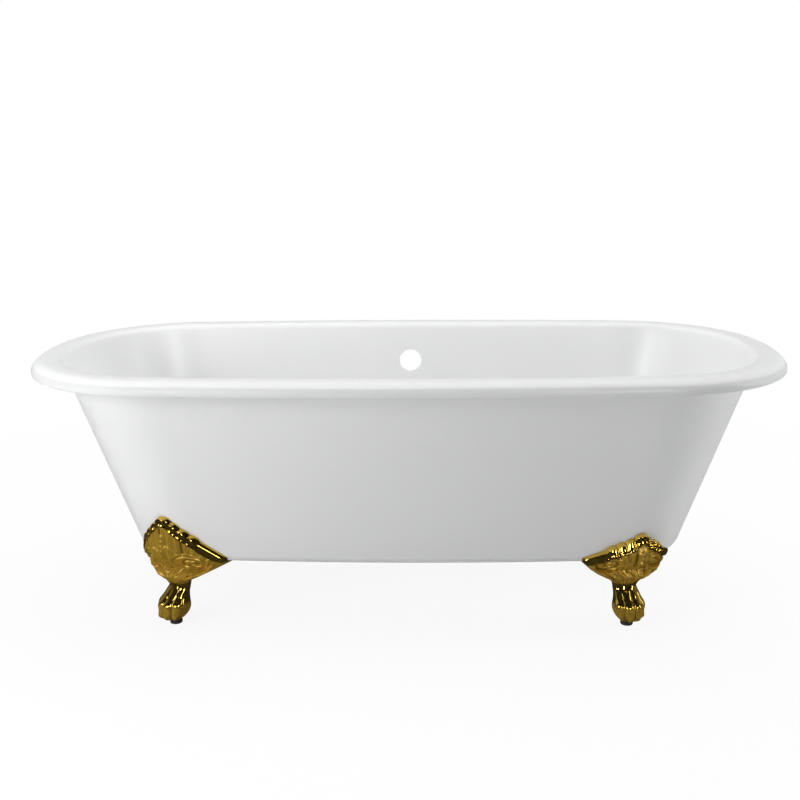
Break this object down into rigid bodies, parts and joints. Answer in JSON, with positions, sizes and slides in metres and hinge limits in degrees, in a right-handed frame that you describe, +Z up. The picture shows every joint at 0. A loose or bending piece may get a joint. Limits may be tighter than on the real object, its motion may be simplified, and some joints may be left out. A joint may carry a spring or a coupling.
{
  "type": "clawfoot bathtub",
  "caption": "Double-ended roll-top cast iron bathtub, white enamel, on brass-plated ball-and-claw feet with levelling screws.",
  "frame": {"origin": "on the floor under the middle of the tub", "axes": "+X along the tub's length, +Y towards the wall with the overflow hole, +Z up"},
  "size_m": [1.7, 0.765, 0.6],
  "materials": {
    "enamel": "gloss",
    "brass_plate": "polished",
    "steel": "zinc plated",
    "rubber": "matte"
  },
  "bodies": {
    "tub": {"tub_shell": "enamel", "foot_front_left": "brass_plate", "foot_bolt_front_left": "steel", "foot_washer_front_left": "steel", "foot_nut_front_left": "steel", "leveller_nut_front_left": "steel", "foot_front_right": "brass_plate", "foot_bolt_front_right": "steel", "foot_washer_front_right": "steel", "foot_nut_front_right": "steel", "leveller_nut_front_right": "steel", "foot_rear_left": "brass_plate", "foot_bolt_rear_left": "steel", "foot_washer_rear_left": "steel", "foot_nut_rear_left": "steel", "leveller_nut_rear_left": "steel", "foot_rear_right": "brass_plate", "foot_bolt_rear_right": "steel", "foot_washer_rear_right": "steel", "foot_nut_rear_right": "steel", "leveller_nut_rear_right": "steel"},
    "glide_front_left": {"leveller_glide_front_left": "rubber"},
    "screw_front_left": {"leveller_screw_front_left": "steel"},
    "glide_front_right": {"leveller_glide_front_right": "rubber"},
    "screw_front_right": {"leveller_screw_front_right": "steel"},
    "glide_rear_left": {"leveller_glide_rear_left": "rubber"},
    "screw_rear_left": {"leveller_screw_rear_left": "steel"},
    "glide_rear_right": {"leveller_glide_rear_right": "rubber"},
    "screw_rear_right": {"leveller_screw_rear_right": "steel"}
  },
  "joints": [
    {"name": "level_front_left", "type": "slide", "parent": "tub", "child": "glide_front_left", "axis": [0, 0, -1], "range_m": [0, 0.014]},
    {"name": "turn_front_left", "type": "hinge", "parent": "glide_front_left", "child": "screw_front_left", "pos_m": [-0.525, -0.187, 0], "axis": [0, 0, -1], "range_deg": [0, 2880.5]},
    {"name": "level_front_right", "type": "slide", "parent": "tub", "child": "glide_front_right", "axis": [0, 0, -1], "range_m": [0, 0.014]},
    {"name": "turn_front_right", "type": "hinge", "parent": "glide_front_right", "child": "screw_front_right", "pos_m": [0.493, -0.187, 0], "axis": [0, 0, -1], "range_deg": [0, 2880.5]},
    {"name": "level_rear_left", "type": "slide", "parent": "tub", "child": "glide_rear_left", "axis": [0, 0, -1], "range_m": [0, 0.014]},
    {"name": "turn_rear_left", "type": "hinge", "parent": "glide_rear_left", "child": "screw_rear_left", "pos_m": [-0.509, 0.187, 0], "axis": [0, 0, -1], "range_deg": [0, 2880.5]},
    {"name": "level_rear_right", "type": "slide", "parent": "tub", "child": "glide_rear_right", "axis": [0, 0, -1], "range_m": [0, 0.014]},
    {"name": "turn_rear_right", "type": "hinge", "parent": "glide_rear_right", "child": "screw_rear_right", "pos_m": [0.509, 0.187, 0], "axis": [0, 0, -1], "range_deg": [0, 2880.5]}
  ],
  "couplings": [
    {"joint": "turn_front_left", "follows": "level_front_left", "rad_per_m": 3590.4},
    {"joint": "turn_front_right", "follows": "level_front_right", "rad_per_m": 3590.4},
    {"joint": "turn_rear_left", "follows": "level_rear_left", "rad_per_m": 3590.4},
    {"joint": "turn_rear_right", "follows": "level_rear_right", "rad_per_m": 3590.4}
  ]
}
